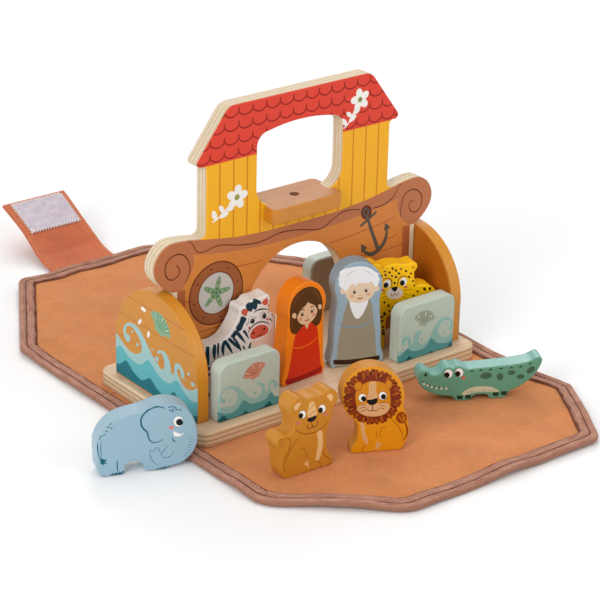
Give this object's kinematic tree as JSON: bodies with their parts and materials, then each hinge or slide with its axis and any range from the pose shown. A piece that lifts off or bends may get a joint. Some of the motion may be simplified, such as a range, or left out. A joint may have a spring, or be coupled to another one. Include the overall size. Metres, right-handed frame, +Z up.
{
  "type": "noahs ark toy",
  "caption": "Plywood ark on a cloth mat that unfolds, with loose sawn people and animals standing on its deck and beside it.",
  "frame": {"origin": "on the floor under the middle of the base board", "axes": "+X along the ark's length to the right as seen from the front, +Y to the rear where the closing strap is, +Z up"},
  "size_m": [0.3443, 0.5269, 0.2171],
  "materials": {
    "bare_ply": "sanded, clear lacquer",
    "deck_ply": "sanded, clear lacquer",
    "ark_paint": "printed and lacquered face on bare ply",
    "end_paint": "printed and lacquered face on bare ply",
    "gate_paint": "printed and lacquered face on bare ply",
    "block_paint": "stained and lacquered",
    "screw_steel": "plated",
    "zebra_paint": "printed and lacquered face on bare ply",
    "woman_paint": "printed and lacquered face on bare ply",
    "man_paint": "printed and lacquered face on bare ply",
    "leopard_paint": "printed and lacquered face on bare ply",
    "elephant_paint": "printed and lacquered face on bare ply",
    "lioness_paint": "printed and lacquered face on bare ply",
    "lion_paint": "printed and lacquered face on bare ply",
    "crocodile_paint": "printed and lacquered face on bare ply",
    "mat_cloth": "brushed, soft",
    "binding_tape": "woven tape",
    "hook_tape": "touch-fastener hooks"
  },
  "bodies": {
    "ark": {"base_board": "deck_ply", "base_screws": "screw_steel", "centre_panel": "ark_paint", "end_panel_left": "end_paint", "end_panel_right": "end_paint", "handle_block": "block_paint", "handle_screw": "screw_steel", "gate_front_left": "gate_paint", "gate_front_right": "gate_paint", "gate_rear_left": "gate_paint", "gate_rear_right": "gate_paint", "mat_centre": "mat_cloth", "mat_left_binding": "binding_tape", "mat_right_binding": "binding_tape"},
    "front_flap": {"mat_front": "mat_cloth", "mat_front_binding": "binding_tape"},
    "rear_flap": {"mat_rear": "mat_cloth", "mat_rear_binding": "binding_tape"},
    "strap": {"closing_tab": "binding_tape", "hook_patch": "hook_tape"},
    "zebra_figure": {"zebra": "zebra_paint"},
    "woman_figure": {"woman": "woman_paint"},
    "man_figure": {"man": "man_paint"},
    "leopard_figure": {"leopard": "leopard_paint"},
    "elephant_figure": {"elephant": "elephant_paint"},
    "lioness_figure": {"lioness": "lioness_paint"},
    "lion_figure": {"lion": "lion_paint"},
    "crocodile_figure": {"crocodile": "crocodile_paint"}
  },
  "joints": [
    {"name": "front_flap_fold", "type": "hinge", "parent": "ark", "child": "front_flap", "pos_m": [0, -0.0633, 0.003], "axis": [-1, 0, 0], "range_deg": [0, 90]},
    {"name": "rear_flap_fold", "type": "hinge", "parent": "ark", "child": "rear_flap", "pos_m": [0, 0.0633, 0.003], "axis": [1, 0, 0], "range_deg": [0, 90]},
    {"name": "strap_fold", "type": "hinge", "parent": "rear_flap", "child": "strap", "pos_m": [0, 0.2417, 0.0045], "axis": [1, 0, 0], "range_deg": [0, 150]},
    {"name": "zebra_lift", "type": "slide", "parent": "ark", "child": "zebra_figure", "axis": [0, 0, 1], "range_m": [0, 0.21]},
    {"name": "woman_lift", "type": "slide", "parent": "ark", "child": "woman_figure", "axis": [0, 0, 1], "range_m": [0, 0.21]},
    {"name": "man_lift", "type": "slide", "parent": "ark", "child": "man_figure", "axis": [0, 0, 1], "range_m": [0, 0.21]},
    {"name": "leopard_lift", "type": "slide", "parent": "ark", "child": "leopard_figure", "axis": [0, 0, 1], "range_m": [0, 0.21]},
    {"name": "elephant_lift", "type": "slide", "parent": "ark", "child": "elephant_figure", "axis": [0, 0, 1], "range_m": [0, 0.21]},
    {"name": "lioness_lift", "type": "slide", "parent": "ark", "child": "lioness_figure", "axis": [0, 0, 1], "range_m": [0, 0.21]},
    {"name": "lion_lift", "type": "slide", "parent": "ark", "child": "lion_figure", "axis": [0, 0, 1], "range_m": [0, 0.21]},
    {"name": "crocodile_lift", "type": "slide", "parent": "ark", "child": "crocodile_figure", "axis": [0, 0, 1], "range_m": [0, 0.21]}
  ],
  "couplings": [
    {"joint": "lioness_lift", "follows": "front_flap_fold", "m_per_rad": 0.13},
    {"joint": "lion_lift", "follows": "front_flap_fold", "m_per_rad": 0.13},
    {"joint": "crocodile_lift", "follows": "front_flap_fold", "m_per_rad": 0.13},
    {"joint": "elephant_lift", "follows": "front_flap_fold", "m_per_rad": 0.13}
  ]
}
